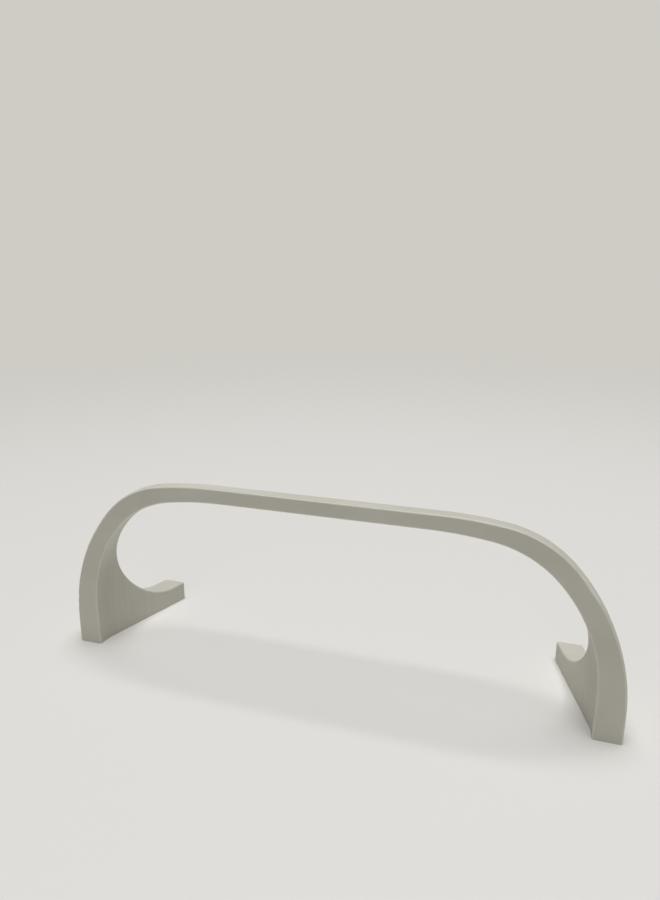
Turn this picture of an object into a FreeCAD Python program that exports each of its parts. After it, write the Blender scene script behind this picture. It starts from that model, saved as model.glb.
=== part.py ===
"""Game controller stand: one printed arch whose two legs toe in towards the back.

Right behind the arch a round cradle is cut down into both legs, which then run
out low and level at the back.
+X is to the right, +Y goes back from the flat front face, +Z is up.
The origin is on the floor, under the middle of the stand.
"""
import FreeCAD, Part
import math
import os

from FreeCAD import Vector

# Overall size
overall_width = 140.0
overall_height = 48.8
overall_depth = 31.0

# Arch, seen from the front
arch_depth = 3.3
crown_thickness = 3.9
leg_thickness = 6.5
crown_radius = 90.0
crown_turn = 9.0
shoulder_radius = 25.0
shoulder_turn = 47.0
outer_upright = 7.0
inner_upright = 11.7

# Legs, seen from above: square to the front face at first, then bent inwards
toe_start = 1.0
toe_bend_radius = 13.5
toe_in = 17.5

# Cradle: a quarter ellipse cut down into both legs, right behind the arch
cradle_reach = 23.5
cradle_rise = 38.0
cradle_height = 5.4

# Small rounds on all edges but those on the floor
edge_radius = 0.5
corner_angle = 30.0

# How far cutting bodies run past what they cut
overrun = 5.0


def arc_about(centre, radius, start, end):
    """Arc in the XZ plane between two angles, in degrees from straight up towards +X."""
    def point(angle):
        turn = math.radians(angle)
        return centre + Vector(radius * math.sin(turn), 0, radius * math.cos(turn))

    return Part.Arc(point(start), point((start + end) / 2), point(end)).toShape()


def half_contour(half_span, top, upright):
    """Right half of an arch line: flat crown, crown arc, shoulder arc, leg arc and upright, all tangent."""
    crown_end, shoulder_end = math.radians(crown_turn), math.radians(shoulder_turn)
    drop = (crown_radius * (1 - math.cos(crown_end))
            + shoulder_radius * (math.cos(crown_end) - math.cos(shoulder_end)))
    leg_radius = (top - drop - upright) / math.cos(shoulder_end)

    leg_centre = Vector(half_span - leg_radius, 0, upright)
    outwards = Vector(math.sin(shoulder_end), 0, math.cos(shoulder_end))
    shoulder_centre = leg_centre + outwards * (leg_radius - shoulder_radius)
    outwards = Vector(math.sin(crown_end), 0, math.cos(crown_end))
    crown_centre = shoulder_centre + outwards * (shoulder_radius - crown_radius)

    flat = Part.makeLine(Vector(0, 0, top), Vector(crown_centre.x, 0, top))
    crown_arc = arc_about(crown_centre, crown_radius, 0, crown_turn)
    shoulder_arc = arc_about(shoulder_centre, shoulder_radius, crown_turn, shoulder_turn)
    leg_arc = arc_about(leg_centre, leg_radius, shoulder_turn, 90)
    leg = Part.makeLine(Vector(half_span, 0, upright), Vector(half_span, 0, -overrun))
    return [flat, crown_arc, shoulder_arc, leg_arc, leg]


def half_arch_outline():
    """Outline of the arch's right half, with the leg carried on below the floor."""
    outer_span = overall_width / 2
    inner_span = outer_span - leg_thickness
    underside = overall_height - crown_thickness
    outer = half_contour(outer_span, overall_height, outer_upright)
    inner = half_contour(inner_span, underside, inner_upright)
    foot = Part.makeLine(Vector(outer_span, 0, -overrun), Vector(inner_span, 0, -overrun))
    middle = Part.makeLine(Vector(0, 0, underside), Vector(0, 0, overall_height))
    return Part.Wire(outer + [foot] + inner[::-1] + [middle])


def leg_path():
    """Line that each point of the right leg follows from the front to the back, bending inwards."""
    def on_bend(turn):
        return Vector(toe_bend_radius * (math.cos(turn) - 1), toe_start + toe_bend_radius * math.sin(turn), 0)

    turn = math.radians(toe_in)
    bend_end = on_bend(turn)
    run = overall_depth + overrun - bend_end.y
    back_end = bend_end + Vector(-run * math.tan(turn), run, 0)
    return Part.Wire([
        Part.makeLine(Vector(0, 0, 0), on_bend(0)),
        Part.Arc(on_bend(0), on_bend(turn / 2), bend_end).toShape(),
        Part.makeLine(bend_end, back_end),
    ])


def half_arch():
    """Sweeps the half outline back along the leg's path without turning it."""
    sweep = Part.BRepOffsetAPI.MakePipeShell(leg_path())
    sweep.setTrihedronMode(Vector(0, 0, 0), Vector(0, 0, 1))
    sweep.add(half_arch_outline())
    sweep.build()
    sweep.makeSolid()
    return sweep.shape()


def quarter_ellipse(start, corner, end):
    """Quarter ellipse between two points, where it runs along the lines to the corner between them."""
    curve = Part.BezierCurve()
    curve.setPoles([start, corner, end])
    # With this weight on the corner the curve is an exact ellipse
    curve.setWeight(2, math.cos(math.radians(45)))
    return curve.toShape()


def cradle_opening():
    """All that is open behind the arch. Its bottom curves down from the arch's rear face and runs out level."""
    near, lowest = arch_depth, arch_depth + cradle_reach
    rear = lowest + overall_depth
    rim_height = cradle_height + cradle_rise
    lid_height = rim_height + overall_height

    rim, bottom = Vector(0, near, rim_height), Vector(0, lowest, cradle_height)
    curve = quarter_ellipse(rim, Vector(0, near, cradle_height), bottom)
    straight = Part.makePolygon([bottom, Vector(0, rear, cradle_height), Vector(0, rear, lid_height),
                                 Vector(0, near, lid_height), rim])
    outline = Part.Wire([curve] + straight.Edges)
    return Part.Face(outline).extrude(Vector(overall_width, 0, 0))


def side_blank():
    """What the side view leaves of the right half: full height in the arch, low legs behind it."""
    blank = Part.makeBox(overall_width, overall_depth + overrun, overall_height + overrun,
                         Vector(0, -overrun, 0))
    return blank.cut(cradle_opening())


def edges_to_round(solid):
    """Edges where two faces meet at a corner, apart from those on the floor."""
    picked = []
    for edge in solid.Edges:
        middle = edge.valueAt((edge.FirstParameter + edge.LastParameter) / 2)
        faces = solid.ancestorsOfType(edge, Part.Face)
        first, second = [face.normalAt(*face.Surface.parameter(middle)) for face in faces]
        on_floor = edge.BoundBox.ZMax < edge_radius
        if math.degrees(first.getAngle(second)) > corner_angle and not on_floor:
            picked.append(edge)
    return picked


def stand():
    """Both halves, joined at the middle of the crown, with their edges rounded."""
    right = half_arch().common(side_blank())
    left = right.mirror(Vector(0, 0, 0), Vector(1, 0, 0))
    body = right.fuse(left).removeSplitter().Solids[0]
    body = body.makeFillet(edge_radius, edges_to_round(body))
    body.translate(Vector(0, -overall_depth / 2, 0))
    return body


os.makedirs("parts", exist_ok=True)
stand().exportStep("parts/stand_body.step")
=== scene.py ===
"""Looks of the game controller stand: one arch printed in off-white PLA, on a plain pale floor.

The part keeps its own solid, and this script gives it its surface, the floor, the light and the camera.
"""

import math

import bpy
from mathutils import Matrix, Vector


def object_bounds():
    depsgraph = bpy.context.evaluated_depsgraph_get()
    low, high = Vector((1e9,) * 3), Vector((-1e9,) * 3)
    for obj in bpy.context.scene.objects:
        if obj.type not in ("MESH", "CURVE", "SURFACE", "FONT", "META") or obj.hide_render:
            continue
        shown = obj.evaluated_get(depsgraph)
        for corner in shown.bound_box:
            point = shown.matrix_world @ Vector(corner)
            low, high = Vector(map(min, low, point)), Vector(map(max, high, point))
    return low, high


# Real sizes of the print, in metres
MM = 0.001
LAYER = 0.2 * MM
LAYER_RELIEF = 0.015 * MM
BEAD = 0.45 * MM
STREAK_LENGTH = 40 * MM
GRAIN = 1.2 * MM
TONE_PATCH = 18 * MM

# A layer and a bead are finer than a pixel, so both are drawn coarser, and the relief as much deeper
DRAWN_LAYER = 4 * LAYER
DRAWN_RELIEF = 4 * LAYER_RELIEF
DRAWN_BEAD = 2 * BEAD

# Tone of the backdrop, and how far out on the floor it begins and is complete, in metres
BACKDROP = "#CECCC5"
BACKDROP_START = 0.12
BACKDROP_FULL = 0.6

# Camera: where it stands, how it is turned, and its focal length in pixels of the 660 by 900 frame
CAMERA_PLACE = Vector((51.66, -163.34, 106.45)) * MM
CAMERA_YAW = math.radians(-18.34)
CAMERA_PITCH = math.radians(16.17)
CAMERA_ROLL = math.radians(0.1)
FOCAL_PIXELS = 726.4
FRAME_HEIGHT_PIXELS = 900
SENSOR = 36.0


def linear(colour):
    """An sRGB hex colour as the linear RGBA that a shader takes."""
    channels = [int(colour[i:i + 2], 16) / 255 for i in (1, 3, 5)]
    return [c / 12.92 if c <= 0.04045 else ((c + 0.055) / 1.055) ** 2.4 for c in channels] + [1.0]


def add_node(tree, kind, settings=None, inputs=None):
    """Adds a node with its settings, and gives each of its inputs a value or a link."""
    node = tree.nodes.new(kind)
    for name, value in (settings or {}).items():
        setattr(node, name, value)
    for name, value in (inputs or {}).items():
        if isinstance(value, bpy.types.NodeSocket):
            tree.links.new(value, node.inputs[name])
        else:
            node.inputs[name].default_value = value
    return node


def new_material(name):
    """An empty material and its node tree."""
    material = bpy.data.materials.new(name)
    material.use_nodes = True
    material.node_tree.nodes.clear()
    return material, material.node_tree


def wave_scale(pitch):
    """The Wave texture's scale at which its bands are one pitch apart."""
    return 2 * math.pi / (20 * pitch)


def print_sides(tree, place):
    """How far a place belongs to the back faces, to the front face, and to the front face's rims, where a
    paler painted highlight goes.
    """
    facing = add_node(tree, "ShaderNodeSeparateXYZ", None, {"Vector": place.outputs["Normal"]})
    back = add_node(tree, "ShaderNodeMapRange", None, {
        "Value": facing.outputs["Y"],
        "From Min": 0.9,
        "From Max": 0.99,
    })
    front = add_node(tree, "ShaderNodeMapRange", None, {
        "Value": facing.outputs["Y"],
        "From Min": -0.9,
        "From Max": -0.99,
    })
    rim_highlight_or_front = add_node(tree, "ShaderNodeMapRange", None, {
        "Value": facing.outputs["Y"],
        "From Min": -0.4,
        "From Max": -0.6,
    })
    # The rounded rims around the front face, which get a paler painted highlight
    rim_highlight = add_node(tree, "ShaderNodeMath", {"operation": "SUBTRACT"}, {
        0: rim_highlight_or_front.outputs["Result"],
        1: front.outputs["Result"],
    })
    return back.outputs["Result"], front.outputs["Result"], rim_highlight.outputs["Value"]


def layer_streaks(tree, place):
    """Uneven streaks that run along the layers, where the flow of plastic changed a little."""
    along_layers = add_node(tree, "ShaderNodeMapping", None, {
        "Vector": place.outputs["Object"],
        "Scale": (1 / STREAK_LENGTH, 1 / DRAWN_LAYER, 1 / STREAK_LENGTH),
    })
    streaks = add_node(tree, "ShaderNodeTexNoise", None, {
        "Vector": along_layers.outputs["Vector"],
        "Scale": 0.7,
        "Detail": 3.0,
    })
    return streaks.outputs["Fac"]


def print_relief(tree, place, streaks, grain, back, front):
    """Relief of the print: layer lines on the walls, beads on the back faces, fine grain on the front."""
    layer_lines = add_node(tree, "ShaderNodeTexWave", {"bands_direction": "Y"}, {
        "Vector": place.outputs["Object"],
        "Scale": wave_scale(DRAWN_LAYER),
    })
    wall_height = add_node(tree, "ShaderNodeMix", None, {
        "Factor": 0.5,
        "A": layer_lines.outputs["Fac"],
        "B": streaks,
    })

    diagonal = add_node(tree, "ShaderNodeMapping", None, {
        "Vector": place.outputs["Object"],
        "Rotation": (0.0, math.radians(45), 0.0),
    })
    beads = add_node(tree, "ShaderNodeTexWave", {"bands_direction": "X"}, {
        "Vector": diagonal.outputs["Vector"],
        "Scale": wave_scale(DRAWN_BEAD),
        "Distortion": 0.4,
    })
    bead_height = add_node(tree, "ShaderNodeMix", None, {
        "Factor": 0.5,
        "A": beads.outputs["Fac"],
        "B": grain,
    })

    wall_or_back = add_node(tree, "ShaderNodeMix", None, {
        "Factor": back,
        "A": wall_height.outputs["Result"],
        "B": bead_height.outputs["Result"],
    })
    height = add_node(tree, "ShaderNodeMix", None, {
        "Factor": front,
        "A": wall_or_back.outputs["Result"],
        "B": grain,
    })
    relief = add_node(tree, "ShaderNodeBump", None, {
        "Strength": 0.7,
        "Distance": DRAWN_RELIEF,
        "Height": height.outputs["Result"],
    })
    return relief.outputs["Normal"]


def print_colour(tree, place, streaks, rim_highlight):
    """Off-white that drifts a little from place to place, darker in some streaks, and paler on the rims as
    a painted highlight.
    """
    patches = add_node(tree, "ShaderNodeTexNoise", None, {
        "Vector": place.outputs["Object"],
        "Scale": 1 / TONE_PATCH,
        "Detail": 5.0,
    })
    tone = add_node(tree, "ShaderNodeMix", {"data_type": "RGBA"}, {
        "Factor": patches.outputs["Fac"],
        "A": linear("#BCB9AD"),
        "B": linear("#D4D1C7"),
    })
    streak_depth = add_node(tree, "ShaderNodeMapRange", None, {
        "Value": streaks,
        "From Min": 0.35,
        "From Max": 0.65,
        "To Max": 0.28,
    })
    streaked = add_node(tree, "ShaderNodeMix", {"data_type": "RGBA"}, {
        "Factor": streak_depth.outputs["Result"],
        "A": tone.outputs["Result"],
        "B": linear("#B8B5AA"),
    })
    # Painted highlight: the rims of the front face are mixed towards a paler colour
    colour = add_node(tree, "ShaderNodeMix", {"data_type": "RGBA"}, {
        "Factor": rim_highlight,
        "A": streaked.outputs["Result"],
        "B": linear("#D4D1C6"),
    })
    return colour.outputs["Result"]


def print_roughness(tree, grain, front):
    """Matt walls, and a front face that the print bed has left a little smoother."""
    wall = add_node(tree, "ShaderNodeMapRange", None, {
        "Value": grain,
        "To Min": 0.48,
        "To Max": 0.66,
    })
    roughness = add_node(tree, "ShaderNodeMix", None, {
        "Factor": front,
        "A": wall.outputs["Result"],
        "B": 0.42,
    })
    return roughness.outputs["Result"]


def printed_pla():
    """PLA printed lying on its front face.

    Its walls carry fine lines where the layers meet, all square to Y. Its front face is smooth from
    the print bed, and the faces that look back show the diagonal beads of the last layer. The rims
    of the front face are painted a little paler: a painted highlight where their rounded edges catch the
    light.
    """
    material, tree = new_material("printed_pla_off_white")
    place = add_node(tree, "ShaderNodeTexCoord")
    back, front, rim_highlight = print_sides(tree, place)
    streaks = layer_streaks(tree, place)
    grain = add_node(tree, "ShaderNodeTexNoise", None, {
        "Vector": place.outputs["Object"],
        "Scale": 1 / GRAIN,
        "Detail": 4.0,
    }).outputs["Fac"]

    plastic = add_node(tree, "ShaderNodeBsdfPrincipled", None, {
        "Base Color": print_colour(tree, place, streaks, rim_highlight),
        "Roughness": print_roughness(tree, grain, front),
        "IOR": 1.46,
        "Normal": print_relief(tree, place, streaks, grain, back, front),
        "Subsurface Weight": 0.12,
        "Subsurface Radius": (1.0, 0.85, 0.65),
        "Subsurface Scale": 1.5 * MM,
    })
    add_node(tree, "ShaderNodeOutputMaterial", None, {"Surface": plastic.outputs["BSDF"]})
    return material


def background_rays(tree):
    """One for the rays that show the background: the camera's own, and those mirrored or let through."""
    ray = add_node(tree, "ShaderNodeLightPath")
    mirrored_or_let_through = add_node(tree, "ShaderNodeMath", {"operation": "MAXIMUM"}, {
        0: ray.outputs["Is Glossy Ray"],
        1: ray.outputs["Is Transmission Ray"],
    })
    shown = add_node(tree, "ShaderNodeMath", {"operation": "MAXIMUM"}, {
        0: ray.outputs["Is Camera Ray"],
        1: mirrored_or_let_through.outputs["Value"],
    })
    return shown.outputs["Value"]


def floor_board():
    """Matt painted board, evenly white and without a mirror image.

    Far from the stand it shows the backdrop's colour, so that no edge is seen between the two.
    """
    material, tree = new_material("matt_white_board")
    board = add_node(tree, "ShaderNodeBsdfPrincipled", None, {
        "Base Color": linear("#E6E4E0"),
        "Roughness": 0.7,
    })
    backdrop = add_node(tree, "ShaderNodeEmission", None, {"Color": linear(BACKDROP)})

    place = add_node(tree, "ShaderNodeTexCoord")
    distance = add_node(tree, "ShaderNodeVectorMath", {"operation": "LENGTH"}, {
        "Vector": place.outputs["Object"],
    })
    far = add_node(tree, "ShaderNodeMapRange", {"interpolation_type": "SMOOTHSTEP"}, {
        "Value": distance.outputs["Value"],
        "From Min": BACKDROP_START,
        "From Max": BACKDROP_FULL,
    })
    seen_far = add_node(tree, "ShaderNodeMath", {"operation": "MULTIPLY"}, {
        0: far.outputs["Result"],
        1: background_rays(tree),
    })
    surface = add_node(tree, "ShaderNodeMixShader", None, {
        0: seen_far.outputs["Value"],
        1: board.outputs["BSDF"],
        2: backdrop.outputs["Emission"],
    })
    add_node(tree, "ShaderNodeOutputMaterial", None, {"Surface": surface.outputs["Shader"]})
    return material


def make_floor():
    """A round floor, wide enough to run out of every view."""
    radius = 8.0
    corners = 128
    turns = [2 * math.pi * corner / corners for corner in range(corners)]
    points = [(radius * math.cos(turn), radius * math.sin(turn), 0.0) for turn in turns]
    mesh = bpy.data.meshes.new("floor")
    mesh.from_pydata(points, [], [list(range(corners))])
    mesh.materials.append(floor_board())
    floor = bpy.data.objects.new("floor", mesh)
    bpy.context.scene.collection.objects.link(floor)


def make_lamp(name, place, aim, size, power):
    """A square soft lamp that shines from its place towards what it lights."""
    data = bpy.data.lights.new(name, "AREA")
    data.size = size
    data.energy = power
    lamp = bpy.data.objects.new(name, data)
    lamp.location = place
    lamp.rotation_euler = (aim - place).to_track_quat("-Z", "Y").to_euler()
    bpy.context.scene.collection.objects.link(lamp)


def light_studio(middle):
    """One wide soft lamp overhead, a weak one in front, and an even pale surround."""
    make_lamp("key", Vector((0.05, 0.0, 1.6)), middle, size=1.0, power=23.0)
    make_lamp("fill", Vector((0.0, -1.1, 0.35)), middle, size=0.6, power=1.3)

    world = bpy.data.worlds.new("pale_surround")
    world.use_nodes = True
    tree = world.node_tree
    tree.nodes.clear()
    surround = add_node(tree, "ShaderNodeBackground", None, {"Color": linear("#FFFFFF"), "Strength": 0.08})
    backdrop = add_node(tree, "ShaderNodeBackground", None, {"Color": linear(BACKDROP)})
    seen = add_node(tree, "ShaderNodeMixShader", None, {
        0: background_rays(tree),
        1: surround.outputs["Background"],
        2: backdrop.outputs["Background"],
    })
    add_node(tree, "ShaderNodeOutputWorld", None, {"Surface": seen.outputs["Shader"]})
    bpy.context.scene.world = world


def make_camera():
    """The camera of the photograph, seen from the flat front face's side and a little from the right."""
    ahead = Vector((math.sin(CAMERA_YAW) * math.cos(CAMERA_PITCH),
                    math.cos(CAMERA_YAW) * math.cos(CAMERA_PITCH),
                    -math.sin(CAMERA_PITCH)))
    right = Vector((math.cos(CAMERA_YAW), -math.sin(CAMERA_YAW), 0.0))
    up = right.cross(ahead)
    turn = Matrix((right, up, -ahead)).transposed() @ Matrix.Rotation(-CAMERA_ROLL, 3, "Z")

    data = bpy.data.cameras.new("camera")
    data.sensor_width = SENSOR
    data.lens = FOCAL_PIXELS * SENSOR / FRAME_HEIGHT_PIXELS
    data.clip_start = 0.01
    camera = bpy.data.objects.new("camera", data)
    camera.matrix_world = Matrix.Translation(CAMERA_PLACE) @ turn.to_4x4()
    bpy.context.scene.collection.objects.link(camera)
    bpy.context.scene.camera = camera


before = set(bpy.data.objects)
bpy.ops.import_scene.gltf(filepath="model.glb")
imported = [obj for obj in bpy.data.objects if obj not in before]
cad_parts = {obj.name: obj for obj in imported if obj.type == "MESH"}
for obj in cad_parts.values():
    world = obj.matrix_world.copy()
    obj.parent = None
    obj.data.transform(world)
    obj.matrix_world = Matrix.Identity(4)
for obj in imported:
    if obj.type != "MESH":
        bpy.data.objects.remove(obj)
solid_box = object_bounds()
middle = (Vector(solid_box[0]) + Vector(solid_box[1])) / 2

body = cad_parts["stand_body"]
body.material_slots[0].material = printed_pla()

make_floor()
light_studio(middle)
make_camera()
bpy.context.scene.view_settings.view_transform = "Standard"
